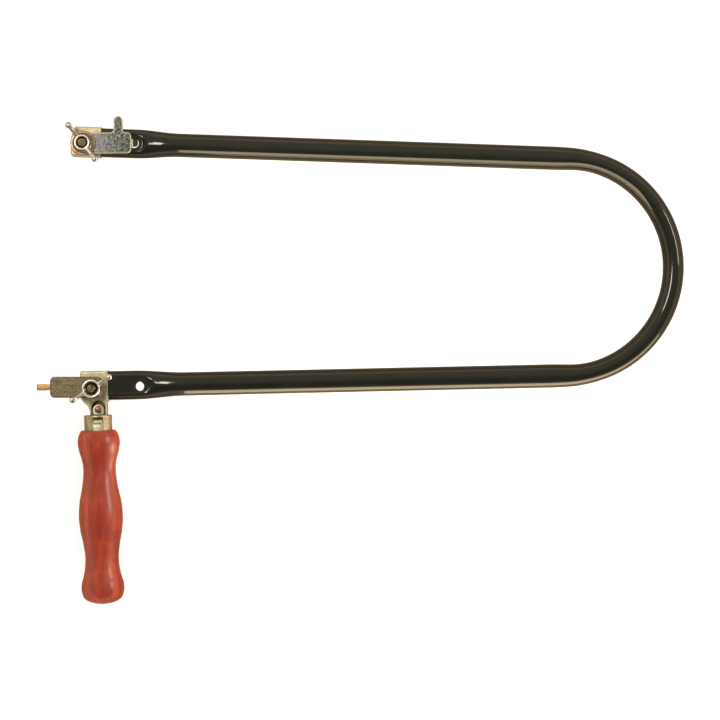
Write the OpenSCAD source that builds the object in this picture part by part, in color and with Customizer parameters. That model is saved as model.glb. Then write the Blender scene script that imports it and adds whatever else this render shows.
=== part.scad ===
// Fret saw frame: a bowed steel tube with a blade clamp at each free end and a turned wooden handle.
// It lies flat, seen from above: +X runs from the clamps to the bend, +Y from the handle to the upper
// arm, +Z up. The origin is the centre of the hole near the free end of the lower arm.

/* [Bow] */
// Outer diameter of the tube
tube_d = 12; // [10:0.5:14]
// Wall of the tube
tube_wall = 1; // [0.8:0.1:1.4]
// Radius of the bend, to the middle of the tube
bend_r = 55.3; // [45:0.1:70]
// Thickness of the tube across the bend, where bending has squeezed it
bend_squeeze = 10.6; // [9.5:0.1:11.5]
// Angle by which the two arms spread towards the clamps
splay = 3.22; // [0:0.02:6]
// Straight length of the upper arm
upper_arm = 238.4; // [150:0.1:320]
// Straight length of the lower arm
lower_arm = 234; // [150:0.1:320]
// Thickness of the flattened tube ends
flat_t = 7.2; // [6.4:0.1:8]
// Length of each flattened end
flat_len = 21; // [20:0.5:30]
// Length over which a flattened end grows round again
taper_len = 15; // [8:0.5:30]
// Distance of the upper cross hole from the end of its arm
upper_hole_in = 17; // [15:0.1:18]
// Distance of the lower cross hole from the end of its arm
lower_hole_in = 16; // [14:0.1:18]
// How far the lower cross hole sits under the middle of its arm
lower_hole_drop = 0.7; // [0:0.1:1.5]
// Diameter of the cross holes
hole_d = 4.8; // [4.6:0.1:5.6]

/* [Brackets] */
// How far the bracket stands proud of the flattened tube, above and below
bracket_lip = 0.3; // [0:0.05:0.6]
// Length of the upper bracket outside the tube
upper_body = 15.2; // [14:0.1:18]
// Length of the lower bracket outside the tube
lower_body = 14.3; // [13.4:0.1:17]
// Length of the spigot inside the tube
spigot_len = 10; // [6:0.5:12]
// Clearance between spigot and tube
spigot_fit = 0.05; // [0.02:0.01:0.15]
// How far the upper corner of a bracket's free end leans back
corner_run = 1.8; // [0.5:0.1:3]
// Height over which that corner leans
corner_rise = 5; // [2:0.1:6]
// Corner radius of a bracket at its lower edge
bracket_round = 1.6; // [0.5:0.1:2.5]
// Radius along the front and back edges of a bracket
bracket_edge = 1.5; // [0.5:0.1:2.5]
// Distance of the upper bolt from the end of the tube
upper_bolt_out = 8.5; // [7.6:0.1:9.6]
// Distance of the lower bolt from the end of the tube
lower_bolt_out = 7.5; // [7.4:0.1:8.4]
// How far each bolt sits under the middle of its arm
bolt_drop = 1.2; // [0:0.1:1.4]

/* [Clamps] */
// Thread diameter of the clamp bolts
bolt_d = 5; // [4.5:0.1:5.3]
// Pitch of the clamp bolts
pitch = 0.8; // [0.5:0.05:1]
// Turns by which both clamps stand open
open_turns = 2.5; // [2.4:0.1:3]
// Thickness of a saw blade, the gap that stays when a clamp is tight
blade_t = 0.3; // [0.2:0.05:0.5]
// Thickness of the clamp jaws
jaw_t = 2; // [1.5:0.1:2.4]
// Width of the clamp jaws
jaw_w = 10.7; // [9:0.1:12]
// Corner radius of the clamp jaws
jaw_round = 2.3; // [1:0.1:3]
// How far the upper jaw reaches behind its bolt
upper_jaw_back = 5.6; // [4:0.1:6]
// How far the lower jaw reaches behind its bolt
lower_jaw_back = 4.6; // [4:0.1:6]
// How far the upper jaw reaches from its bolt, without its tongue
upper_jaw_reach = 24.4; // [22:0.1:24.8]
// How far the lower jaw reaches from its bolt, without its tongue
lower_jaw_reach = 21.4; // [19:0.1:21.6]
// How far the lower jaw hangs off the middle of its bolt, within the play of its hole
lower_jaw_shift = 0.6; // [0:0.05:0.65]
// Play between a jaw's hole and its bolt, all round
jaw_play = 0.75; // [0.7:0.05:1]
// Direction of the lower jaw at rest, swung open
lower_jaw_angle = 178.7; // [170:0.1:190]
// Width of the jaws' tongues
tongue_w = 3.4; // [2.8:0.1:3.6]
// Depth by which the upper jaw's tongue is set into the cross hole
tongue_drop = 1.4; // [0.8:0.1:1.6]
// Clearance round the upper jaw's tongue in the cross hole
tongue_gap = 0.3; // [0.2:0.05:0.4]
// Length of the lower jaw's tongue
lower_tongue_len = 6.8; // [5:0.1:7]
// Thickness of the lower jaw's tongue
lower_tongue_t = 1.3; // [1:0.1:2]
// Diameter of the dimple under the lower jaw's tongue
dimple_d = 2.8; // [2:0.1:3.2]
// Width of the thumb tab on the upper jaw
tab_w = 4.7; // [3.5:0.1:6]
// Height of the thumb tab above the upper jaw's edge
tab_h = 8.2; // [4:0.1:12]
// Distance of the thumb tab's middle from the bolt
tab_x = 17.9; // [15.5:0.1:19]
// Thickness of the washers
washer_t = 1; // [0.6:0.1:1.2]
// Diameter of the upper washer
upper_washer_d = 12.6; // [10:0.1:13]
// Diameter of the lower washer
lower_washer_d = 10.6; // [10:0.1:12]

/* [Wing nuts] */
// Span of the wings, tip to tip
wing_span = 25; // [22:0.5:28]
// Thickness of a wing's web
wing_t = 1.7; // [1.2:0.1:2.2]
// Diameter of the bead at a wing's tip
wing_bead_d = 2.9; // [2.2:0.1:3.4]
// Height of the hub
hub_h = 4.6; // [3.6:0.1:5.5]
// Diameter of a hub's foot
flange_d = 10.3; // [9.6:0.1:11]
// Outer diameter of the upper nut's rim
upper_rim_d = 7.9; // [7.2:0.1:9]
// Outer diameter of the lower nut's rim
lower_rim_d = 9.4; // [8:0.1:10.5]
// Wall of the rim round a hub's cup
rim_wall = 1.05; // [0.7:0.05:1.1]
// Depth of the cup in the top of a hub
cup_depth = 1.5; // [0.8:0.1:2]
// Direction of the upper nut's wings at rest
upper_wing_angle = -50; // [-90:1:90]
// Direction of the lower nut's wings at rest
lower_wing_angle = 31; // [-90:1:90]

/* [Handle] */
// Distance of the handle's axis from the end of the lower arm
handle_out = 5.1; // [4.8:0.1:5.6]
// Distance from the middle of the lower arm down to the ferrule
ferrule_top = 14.9; // [14:0.1:18]
// Length of the ferrule
ferrule_len = 7.8; // [6:0.1:12]
// Outer diameter of the ferrule
ferrule_d = 14.2; // [13.2:0.1:16]
// Wall of the ferrule
ferrule_wall = 0.7; // [0.5:0.1:1]
// Length of the wood below the ferrule
wood_len = 88.5; // [70:0.5:120]
// Diameter of the wood at the ferrule
neck_d = 17.6; // [16:0.1:19]
// Diameter of the bead under the ferrule
bead_d = 21.4; // [19:0.1:24]
// Diameter of the upper waist
waist_d = 16.5; // [15:0.1:18]
// Diameter of the belly
belly_d = 22.4; // [20:0.1:26]
// Diameter of the lower waist
low_waist_d = 17; // [15:0.1:18]
// Diameter of the end knob
knob_d = 21.9; // [19:0.1:25]
// Width of the bracket's stem that enters the ferrule
stem_w = 8.5; // [8:0.1:9.2]
// How far the stem reaches into the ferrule
stem_in = 3; // [2:0.1:4]
// Diameter of the spike in the wood
spike_d = 4; // [3:0.1:5]
// Length of the spike inside the wood
spike_len = 45; // [30:1:60]
// Width of the strap over the ferrule
strap_w = 4.6; // [3.6:0.1:5.4]
// Width of the strap's round head
strap_head_w = 5.8; // [5.4:0.1:6.2]
// Thickness of the strap
strap_t = 1.2; // [0.8:0.1:1.4]
// Diameter of the rivet through the strap
rivet_d = 2.4; // [2:0.1:2.8]
// Distance from the crown of the stem's pocket down to the strap's head
head_gap = 2.1; // [1.5:0.1:2.4]

/* [Hidden] */
$fn = 64;

half_splay = splay / 2;
over = tube_d / 4; // overrun of every cut
lap = tube_wall / 2; // how far two lengths of tube run into each other
under = tube_wall / 30; // how much a tapered length lies inside its neighbours
loft_sides = 32;
taper_steps = 6;
squeeze_len = tube_d; // length over which the tube starts to be squeezed

face_z = flat_t / 2; // front faces of the flattened tube and of the brackets
lift = open_turns * pitch; // how far both clamps stand above tight
jaw_z = face_z + blade_t + lift; // underside of the jaws at rest
slip = blade_t / 3; // gap between pieces that turn on each other
washer_z = jaw_z + jaw_t + slip;
nut_z = washer_z + washer_t + slip;
bolt_end_z = nut_z + hub_h - cup_depth / 2;
upper_hole_at = norm([upper_bolt_out + upper_hole_in, bolt_drop]); // from the upper bolt to the hole
upper_jaw_angle = atan2(bolt_drop, upper_bolt_out + upper_hole_in); // the tongue points at the hole
lower_hole_off = norm([lower_bolt_out + lower_hole_in, bolt_drop - lower_hole_drop]);
lower_hole_at = sqrt(pow(lower_hole_off, 2) - pow(lower_jaw_shift, 2)); // along the lower jaw's middle
dimple_h = lower_tongue_t;

// Length of the flats on a tube of round girth that is squeezed to thickness t
function flat_of(t) = PI * (tube_d - t) / 2;
bracket_h = flat_t + flat_of(flat_t) + 2 * bracket_lip;

// One ring of a squeezed tube: radius of its round sides, half of its flats, and whether the flats
// lie along Y (at a flattened end) or along Z (at the bend)
function ring(x, r, half, along_y) = [for (k = [0:loft_sides - 1])
    let (a = (k + 0.5) * 360 / loft_sides, c = cos(a), s = sin(a))
    [x, r * c + (along_y ? sign(c) * half : 0), r * s + (along_y ? 0 : sign(s) * half)]];
function ease(f) = (1 - cos(180 * f)) / 2;

// A length of tube along X whose thickness goes from t0 to t1, less an inset all round
module taper(x0, x1, t0, t1, inset, along_y) {
    n = loft_sides;
    ends = [x0 - lap, x1 + lap];
    stations = concat([[ends[0], t0]],
        [for (i = [0:taper_steps]) let (f = i / taper_steps) [x0 + (x1 - x0) * f, t0 + (t1 - t0) * ease(f)]],
        [[ends[1], t1]]);
    rings = [for (q = stations) ring(q[0], q[1] / 2 - inset, flat_of(q[1]) / 2, along_y)];
    last = len(rings) - 1;
    sides = [for (i = [0:last - 1], k = [0:n - 1], upper = [0, 1])
        let (a = i * n + k, b = i * n + (k + 1) % n, c = b + n, d = a + n)
        upper == 1 ? [a, d, c] : [a, c, b]];
    polyhedron([for (p = rings) each p],
        concat([[for (k = [0:n - 1]) k]], sides, [[for (k = [n - 1:-1:0]) last * n + k]]));
}

// Section of a tube squeezed to thickness t, less an inset: flats along X, thickness along Y
module squeezed(t, inset) {
    half = flat_of(t) / 2;
    r = t / 2 - inset;
    square([2 * half, 2 * r], center = true);
    for (side = [-1, 1]) translate([side * half, 0]) circle(r);
}

// Runs a section of X and Y along the X axis, from x0 to x1, with its X across the arm
module along_arm(x0, x1) {
    translate([x0, 0, 0]) rotate([90, 0, 90]) linear_extrude(x1 - x0) children();
}

// One straight arm from its free end at the origin to the bend, less an inset
module arm(length, inset, stretch) {
    round_from = flat_len + taper_len;
    round_to = length - squeeze_len;
    along_arm(-stretch, flat_len) squeezed(flat_t, inset);
    taper(flat_len, round_from, flat_t, tube_d, inset + under, true);
    translate([round_from, 0, 0]) rotate([0, 90, 0])
        cylinder(d = tube_d - 2 * inset, h = round_to - round_from);
    taper(round_to, length, tube_d, bend_squeeze, inset + under, false);
}

// The whole bow, less an inset all round; the ends are stretched for the bore
module bow(inset, stretch) {
    at_upper() arm(upper_arm, inset, stretch);
    at_lower() arm(lower_arm, inset, stretch);
    at_bend() rotate([0, 0, half_splay - 90]) rotate_extrude(angle = 180 - splay)
        translate([bend_r, 0]) rotate([0, 0, 90]) squeezed(bend_squeeze, inset);
}

// Places children with the middle of the bend at their origin
module at_bend() {
    run = lower_arm - lower_hole_in;
    rise = bend_r + lower_hole_drop;
    translate([run * cos(half_splay) - rise * sin(half_splay),
        run * sin(half_splay) + rise * cos(half_splay), 0]) children();
}

// Places children at the free end of an arm, with +X along the arm towards the bend
module at_lower() {
    rotate([0, 0, half_splay]) translate([-lower_hole_in, lower_hole_drop, 0]) children();
}

module at_upper() {
    at_bend() rotate([0, 0, -half_splay]) translate([-upper_arm, bend_r, 0]) children();
}

module at_upper_bolt() {
    at_upper() translate([-upper_bolt_out, -bolt_drop, 0]) children();
}

module at_lower_bolt() {
    at_lower() translate([-lower_bolt_out, -bolt_drop, 0]) children();
}

// Places children on the handle's axis, at the arm's middle, with +Z running down the handle
module at_handle() {
    at_lower() translate([-handle_out, 0, 0]) rotate([90, 0, 0]) children();
}

module bow_tube() {
    color([0.13, 0.13, 0.11]) difference() {
        bow(0, 0);
        bow(tube_wall, over);
        at_upper() translate([upper_hole_in, 0, 0]) cylinder(d = hole_d, h = tube_d, center = true);
        cylinder(d = hole_d, h = tube_d, center = true);
    }
}

// Brackets
zinc = [0.80, 0.70, 0.46];
neck = bolt_d + slip; // square hole for the bolt's neck
neck_h = flat_t / 3;

// Outline of a bracket outside the tube, seen from the front: the upper free corner leans back and
// the lower one is round
module body_outline(body) {
    h = bracket_h / 2;
    polygon([[0, -h], [0, h], [corner_run - body, h], [-body, h - corner_rise],
        [-body, bracket_round - h], [bracket_round - body, -h]]);
    translate([bracket_round - body, bracket_round - h]) circle(bracket_round);
}

// Bar as thick as the flattened tube, with rounded edges, over the bracket's outline
module bracket_bar(body) {
    w = bracket_h / 2 - bracket_edge;
    t = face_z - bracket_edge;
    along_arm(-body, 0) union() {
        square([2 * w, flat_t], center = true);
        square([bracket_h, 2 * t], center = true);
        for (x = [-w, w], y = [-t, t]) translate([x, y]) circle(bracket_edge);
    }
}

module spigot() {
    along_arm(-lap, spigot_len) squeezed(flat_t, tube_wall + spigot_fit);
}

// Square hole for the neck of a carriage bolt, and a round one for its shank
module bolt_hole() {
    translate([-neck / 2, -neck / 2, -face_z - over]) cube([neck, neck, neck_h + over]);
    cylinder(d = bolt_d + 2 * slip, h = 2 * flat_t, center = true);
}

module upper_bracket() {
    color(zinc) difference() {
        union() {
            at_upper() intersection() {
                bracket_bar(upper_body);
                translate([0, 0, -flat_t]) linear_extrude(2 * flat_t) body_outline(upper_body);
            }
            at_upper() spigot();
        }
        at_upper_bolt() bolt_hole();
    }
}

// The arched pocket in the lower bracket's stem, where the strap's head sits
pocket_share = 0.83; // width of the pocket over the stem's
pocket_w = stem_w * pocket_share;
pocket_top = ferrule_top / 2; // crown of the arch, below the arm's middle
pocket_depth = strap_t + slip;
pocket_z = face_z - pocket_depth;
stem_end = ferrule_top + stem_in;
spike_sink = stem_in - slip; // how far the spike sits in the stem
shoulder = lower_body - handle_out - stem_w / 2; // each leg of the slanting shoulder on the free side
tenon_share = 0.92; // thickness of the stem inside the ferrule over the rest of it
tenon_t = flat_t * tenon_share;

module pocket(w, crown, foot) {
    translate([0, -crown - w / 2]) circle(d = w);
    translate([-w / 2, -foot]) square([w, foot - crown - w / 2]);
}

// The stem down to the ferrule, with a slanting shoulder under the body
module stem_outline() {
    left = -handle_out - stem_w / 2;
    corner_y = bracket_round - bracket_h / 2;
    low_y = corner_y - bracket_round / 2;
    translate([left, slip - ferrule_top]) square([stem_w, ferrule_top - slip]);
    polygon([[-lower_body, corner_y], [-lower_body, low_y], [left, low_y - shoulder],
        [left + lap, low_y - shoulder], [left + lap, corner_y]]);
}

// The stem's end inside the ferrule, a little thinner than the rest
module stem_tenon() {
    translate([-handle_out - stem_w / 2, -stem_end, -tenon_t / 2])
        cube([stem_w, stem_in + 2 * slip, tenon_t]);
}

module lower_bracket() {
    color(zinc) difference() {
        union() {
            at_lower() intersection() {
                bracket_bar(lower_body);
                translate([0, 0, -flat_t]) linear_extrude(2 * flat_t) body_outline(lower_body);
            }
            at_lower() translate([0, 0, -face_z]) linear_extrude(flat_t) stem_outline();
            at_lower() stem_tenon();
            at_lower() spigot();
        }
        at_lower_bolt() bolt_hole();
        at_lower() translate([-handle_out, 0, pocket_z]) linear_extrude(over)
            pocket(pocket_w, pocket_top, stem_end + over);
        at_lower() translate([-handle_out, -rivet_y, 0])
            cylinder(d = rivet_d + slip, h = 2 * flat_t, center = true);
        at_handle() translate([0, 0, stem_end - spike_sink])
            cylinder(d = spike_d + slip, h = over + spike_sink);
    }
}

// Clamp bolts: a domed head behind the bracket, a square neck in it and a shank through jaw and nut
head_share = 2.2; // diameter of a carriage bolt's head over its thread's
head_d = head_share * bolt_d;
head_h = bolt_d / 2;
tip_h = bolt_d / 8; // bevel at a bolt's end
dome_r = (head_d * head_d / 4 + head_h * head_h) / (2 * head_h);

module clamp_bolt() {
    color([0.62, 0.57, 0.45]) union() {
        translate([0, 0, -face_z]) difference() {
            translate([0, 0, dome_r - head_h]) sphere(dome_r);
            translate([-dome_r * 2, -dome_r * 2, 0]) cube(4 * dome_r);
        }
        translate([0, 0, neck_h / 2 - face_z]) cube([bolt_d, bolt_d, neck_h], center = true);
        translate([0, 0, -face_z]) cylinder(d = bolt_d, h = face_z + bolt_end_z - tip_h);
        translate([0, 0, bolt_end_z - tip_h]) cylinder(d1 = bolt_d, d2 = bolt_d - 2 * tip_h, h = tip_h);
    }
}

module upper_bolt() {
    at_upper_bolt() clamp_bolt();
}

module lower_bolt() {
    at_lower_bolt() clamp_bolt();
}

// Clamp jaws, drawn with the bolt at the origin, the tongue along +X and the underside at z = 0
jaw_hole = bolt_d + 2 * jaw_play;

module rounded(x0, x1, w, r) {
    for (x = [x0 + r, x1 - r], y = [r - w / 2, w / 2 - r]) translate([x, y]) circle(r);
    translate([x0 + r, -w / 2]) square([x1 - x0 - 2 * r, w]);
    translate([x0, r - w / 2]) square([x1 - x0, w - 2 * r]);
}

// Plate of a jaw with the hole for its bolt; the lower one lies off the bolt's middle by a shift
module jaw_plate(back, reach) {
    linear_extrude(jaw_t) rounded(-back, reach, jaw_w, jaw_round);
}

module jaw_bore() {
    translate([0, 0, -over]) cylinder(d = jaw_hole, h = jaw_t + 2 * over);
}

// Side view of the upper tongue: it leaves the jaw's end, steps down and ends in a short foot
module tongue_side(reach, foot_to) {
    low = jaw_t - tongue_drop;
    polygon([[reach - jaw_round, 0], [reach, 0], [reach, -tongue_drop], [foot_to, -tongue_drop],
        [foot_to, low], [reach + low, low], [reach + low / 2, jaw_t], [reach - jaw_round, jaw_t]]);
}

module upper_tongue() {
    foot_to = upper_hole_at + hole_d / 2 - 3 * tongue_gap;
    intersection() {
        rotate([90, 0, 0]) linear_extrude(tongue_w, center = true) tongue_side(upper_jaw_reach, foot_to);
        translate([0, 0, -jaw_t]) linear_extrude(3 * jaw_t)
            rounded(upper_jaw_reach - jaw_w / 2, foot_to, tongue_w, tongue_w / 3);
    }
}

// The lower tongue is thinner than its jaw and waisted where it leaves it; a dimple under it drops
// into the cross hole
module lower_tongue() {
    tip = lower_jaw_reach + lower_tongue_len;
    waist_to = lower_jaw_reach + lower_tongue_len / 3;
    linear_extrude(lower_tongue_t) {
        translate([lower_jaw_reach - lap, -dimple_d / 2]) square([lower_tongue_len / 2, dimple_d]);
        rounded(waist_to, tip, tongue_w, tongue_w / 8);
    }
    translate([lower_hole_at, 0, -dimple_h]) cylinder(d = dimple_d, h = dimple_h + lap);
}

// Thumb tab of the upper jaw, with a fillet at its foot on the bolt's side
module thumb_tab() {
    top = jaw_w / 2 + tab_h;
    fillet = tab_w / 3;
    linear_extrude(jaw_t) union() {
        translate([tab_x - tab_w / 2, 0]) square([tab_w, top - tab_w / 2]);
        translate([tab_x, top - tab_w / 2]) circle(d = tab_w);
        difference() {
            translate([tab_x - tab_w / 2 - fillet, jaw_w / 2 - fillet]) square([fillet + lap, 2 * fillet]);
            translate([tab_x - tab_w / 2 - fillet, jaw_w / 2 + fillet]) circle(fillet);
        }
    }
}

module upper_jaw() {
    color([0.42, 0.42, 0.40]) at_upper_bolt() translate([0, 0, jaw_z]) rotate([0, 0, upper_jaw_angle])
        difference() {
            union() {
                jaw_plate(upper_jaw_back, upper_jaw_reach);
                upper_tongue();
                thumb_tab();
            }
            jaw_bore();
        }
}

// The lower jaw is swung open: its tongue points away from the bow
module lower_jaw() {
    color([0.40, 0.35, 0.26]) at_lower_bolt() translate([0, 0, jaw_z]) rotate([0, 0, lower_jaw_angle])
        translate([0, -lower_jaw_shift, 0]) difference() {
            union() {
                jaw_plate(lower_jaw_back, lower_jaw_reach);
                lower_tongue();
            }
            jaw_bore();
        }
}

module washer(d) {
    color([0.75, 0.68, 0.55]) translate([0, 0, washer_z]) difference() {
        cylinder(d = d, h = washer_t);
        translate([0, 0, -over]) cylinder(d = bolt_d + 3 * slip, h = washer_t + 2 * over);
    }
}

module upper_washer() {
    at_upper_bolt() washer(upper_washer_d);
}

module lower_washer() {
    at_lower_bolt() washer(lower_washer_d);
}

// Wing nut: a cupped hub with two wings that rise outwards and end in a bead
wing_rise_share = 1.35; // height of the wings' tips over the hub's
module wing(rim_d) {
    tip = wing_span / 2 - wing_bead_d / 2;
    low = hub_h / 6;
    high = hub_h * wing_rise_share;
    shoulder = wing_bead_d / 4;
    root = rim_d / 2 - rim_wall / 2;
    rotate([90, 0, 0]) linear_extrude(wing_t, center = true)
        polygon([[root, low], [root + rim_wall, low], [tip, high - wing_bead_d], [tip, high], [root, hub_h]]);
    translate([tip, 0, high - wing_bead_d]) cylinder(d = wing_bead_d, h = wing_bead_d - shoulder);
    translate([tip, 0, high - shoulder]) cylinder(d1 = wing_bead_d, d2 = wing_bead_d / 2, h = shoulder);
}

module wing_nut(rim_d) {
    flange_h = hub_h / 6;
    color([0.78, 0.70, 0.58]) difference() {
        union() {
            cylinder(d = rim_d, h = hub_h);
            cylinder(d = flange_d, h = flange_h);
            translate([0, 0, flange_h]) cylinder(d1 = flange_d, d2 = rim_d, h = flange_h);
            for (side = [0, 180]) rotate([0, 0, side]) wing(rim_d);
        }
        translate([0, 0, -over]) cylinder(d = bolt_d + slip, h = hub_h + 2 * over);
        translate([0, 0, hub_h - cup_depth]) cylinder(d = rim_d - 2 * rim_wall, h = cup_depth + over);
    }
}

module upper_wing_nut() {
    at_upper_bolt() translate([0, 0, nut_z]) rotate([0, 0, upper_wing_angle]) wing_nut(upper_rim_d);
}

module lower_wing_nut() {
    at_lower_bolt() translate([0, 0, nut_z]) rotate([0, 0, lower_wing_angle]) wing_nut(lower_rim_d);
}

// Strap: a round head riveted in the pocket, a shelf out through the ferrule's slot and a tail down
// the ferrule's front
strap_out = ferrule_d / 2 + slip; // inner face of the tail
head_crown = pocket_top + head_gap;
shelf_top = stem_end - strap_t;
rivet_y = head_crown + rivet_d;
slot_top = ferrule_top + stem_in / 3;
slot_foot = stem_end + slip;

module handle_strap() {
    color([0.72, 0.62, 0.44]) at_lower() translate([-handle_out, 0, 0]) difference() {
        union() {
            translate([0, 0, pocket_z]) linear_extrude(strap_t)
                pocket(strap_head_w, head_crown, shelf_top + strap_t);
            translate([-strap_w / 2, -shelf_top - strap_t, pocket_z])
                cube([strap_w, strap_t, strap_out + strap_t - pocket_z]);
            translate([-strap_w / 2, -ferrule_top - ferrule_len, strap_out])
                cube([strap_w, ferrule_top + ferrule_len - shelf_top, strap_t]);
        }
        translate([0, -rivet_y, 0]) cylinder(d = rivet_d + slip, h = flat_t);
    }
}

// Rivet through the strap's head and the stem, with a flat dome on both sides
rivet_share = 0.8; // radius of a rivet's dome over the shank's diameter
module rivet_dome() {
    h = rivet_d / 4;
    r = rivet_d * rivet_share;
    ball = (r * r + h * h) / (2 * h);
    intersection() {
        translate([0, 0, h - ball]) sphere(ball);
        cylinder(r = ball, h = h);
    }
}

module strap_rivet() {
    front = pocket_z + strap_t;
    color([0.66, 0.50, 0.40]) at_lower() translate([-handle_out, -rivet_y, 0]) union() {
        translate([0, 0, -face_z]) cylinder(d = rivet_d, h = face_z + front);
        translate([0, 0, front]) rivet_dome();
        translate([0, 0, -face_z]) mirror([0, 0, 1]) rivet_dome();
    }
}

// Spike that is pressed into the stem's end and carries the wood
module tang_spike() {
    top = stem_end - spike_sink;
    color([0.45, 0.45, 0.46]) at_handle() union() {
        translate([0, 0, top]) cylinder(d = spike_d, h = spike_sink + spike_len - spike_d);
        translate([0, 0, stem_end + spike_len - spike_d])
            cylinder(d1 = spike_d, d2 = spike_d / 4, h = spike_d);
    }
}

module ferrule() {
    color(zinc) at_handle() translate([0, 0, ferrule_top]) difference() {
        cylinder(d = ferrule_d, h = ferrule_len);
        translate([0, 0, -over]) cylinder(d = ferrule_d - 2 * ferrule_wall, h = ferrule_len + 2 * over);
        translate([-strap_w / 2 - slip, 0, slot_top - ferrule_top])
            cube([strap_w + 2 * slip, ferrule_d, slot_foot - slot_top]);
    }
}

// Turned profile: the diameter swings between the named beads and waists as half cosine waves, and
// the two ends are quarter ellipses
bead_share = 0.068;
waist_share = 0.228;
belly_share = 0.482;
low_waist_share = 0.732;
knob_share = 0.908;
turn_steps = 10;

function swing(share0, d0, share1, d1) = [for (i = [0:turn_steps - 1])
    let (f = i / turn_steps) [(d0 + (d1 - d0) * ease(f)) / 2, wood_len * (share0 + (share1 - share0) * f)]];
function top_curve() = [for (i = [0:turn_steps - 1])
    let (a = 90 * i / turn_steps)
    [(neck_d + (bead_d - neck_d) * sin(a)) / 2, wood_len * bead_share * (1 - cos(a))]];
function end_curve() = [for (i = [0:turn_steps])
    let (a = 90 * i / turn_steps)
    [knob_d / 2 * cos(a), wood_len * (knob_share + (1 - knob_share) * sin(a))]];
wood_profile = concat([[0, 0]], top_curve(), swing(bead_share, bead_d, waist_share, waist_d),
    swing(waist_share, waist_d, belly_share, belly_d),
    swing(belly_share, belly_d, low_waist_share, low_waist_d),
    swing(low_waist_share, low_waist_d, knob_share, knob_d), end_curve());

module handle() {
    wood_top = ferrule_top + ferrule_len;
    tenon_top = stem_end + slip;
    color([0.62, 0.18, 0.10]) at_handle() difference() {
        union() {
            translate([0, 0, wood_top]) rotate_extrude() polygon(wood_profile);
            translate([0, 0, tenon_top])
                cylinder(d = ferrule_d - 2 * ferrule_wall - slip, h = wood_top - tenon_top + lap);
        }
        translate([0, 0, tenon_top - over]) cylinder(d = spike_d + slip, h = spike_len + over);
    }
}

bow_tube();
upper_bracket();
upper_bolt();
upper_jaw();
upper_washer();
upper_wing_nut();
lower_bracket();
lower_bolt();
lower_jaw();
lower_washer();
lower_wing_nut();
handle_strap();
strap_rivet();
tang_spike();
ferrule();
handle();
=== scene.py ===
from math import radians, pi
import bpy
import numpy as np
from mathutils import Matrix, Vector


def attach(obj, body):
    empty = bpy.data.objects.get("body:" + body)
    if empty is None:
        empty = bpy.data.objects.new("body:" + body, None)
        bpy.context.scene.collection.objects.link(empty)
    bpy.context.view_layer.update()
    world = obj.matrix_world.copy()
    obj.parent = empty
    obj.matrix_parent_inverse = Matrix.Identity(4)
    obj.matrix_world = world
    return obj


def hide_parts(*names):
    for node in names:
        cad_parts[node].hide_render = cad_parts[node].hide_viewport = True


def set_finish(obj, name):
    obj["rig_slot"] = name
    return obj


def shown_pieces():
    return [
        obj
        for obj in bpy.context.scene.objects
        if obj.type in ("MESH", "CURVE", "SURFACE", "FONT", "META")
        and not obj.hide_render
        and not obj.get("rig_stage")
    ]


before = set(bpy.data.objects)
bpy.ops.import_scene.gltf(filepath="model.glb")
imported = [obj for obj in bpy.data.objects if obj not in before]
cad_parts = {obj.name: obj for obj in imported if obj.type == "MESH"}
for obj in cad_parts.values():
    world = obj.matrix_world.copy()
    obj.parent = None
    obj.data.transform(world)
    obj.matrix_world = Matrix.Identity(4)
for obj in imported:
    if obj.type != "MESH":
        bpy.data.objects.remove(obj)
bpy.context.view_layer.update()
mm = 0.001

# Sizes of the bow in millimetres, the same as in the frame
bow = dict(tubeR=6.0, wall=1.0, bendR=55.3, squeeze=10.6, splay=3.22, upperArm=238.4, lowerArm=234.0,
           flatT=7.2, upperHoleIn=17.0, lowerHoleIn=16.0, lowerHoleDrop=0.7, holeD=4.8, upperBoltOut=8.5,
           lowerBoltOut=7.5, boltDrop=1.2)
face = bow["flatT"] / 2
halfSplay = radians(bow["splay"] / 2)


def turned(points, angle):  # points turned about Z by an angle in radians
    c, s = np.cos(angle), np.sin(angle)
    p = np.asarray(points, float)
    return np.stack([p[..., 0] * c - p[..., 1] * s, p[..., 0] * s + p[..., 1] * c, p[..., 2]], axis=-1)


def atPlace(points, place):  # from a piece's own axes to the frame's
    return turned(points, place["turn"]) + np.asarray(place["at"])


def placeFrom(place, offset, turn=0.0):  # a new place, offset along the axes of another
    return dict(at=atPlace(np.array(offset, float), place), turn=place["turn"] + turn)


lowerArm = dict(at=turned((-bow["lowerHoleIn"], bow["lowerHoleDrop"], 0), halfSplay), turn=halfSplay)
bendMid = atPlace((bow["lowerArm"], bow["bendR"], 0), lowerArm)
upperArm = dict(at=bendMid + turned((-bow["upperArm"], bow["bendR"], 0), -halfSplay), turn=-halfSplay)
upperBolt = placeFrom(upperArm, (-bow["upperBoltOut"], -bow["boltDrop"], 0))
lowerBolt = placeFrom(lowerArm, (-bow["lowerBoltOut"], -bow["boltDrop"], 0))
boltPlaces = dict(upper=upperBolt, lower=lowerBolt)


def ease(f):  # half a cosine wave from 0 to 1
    return (1 - np.cos(pi * np.clip(f, 0, 1))) / 2


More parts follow.
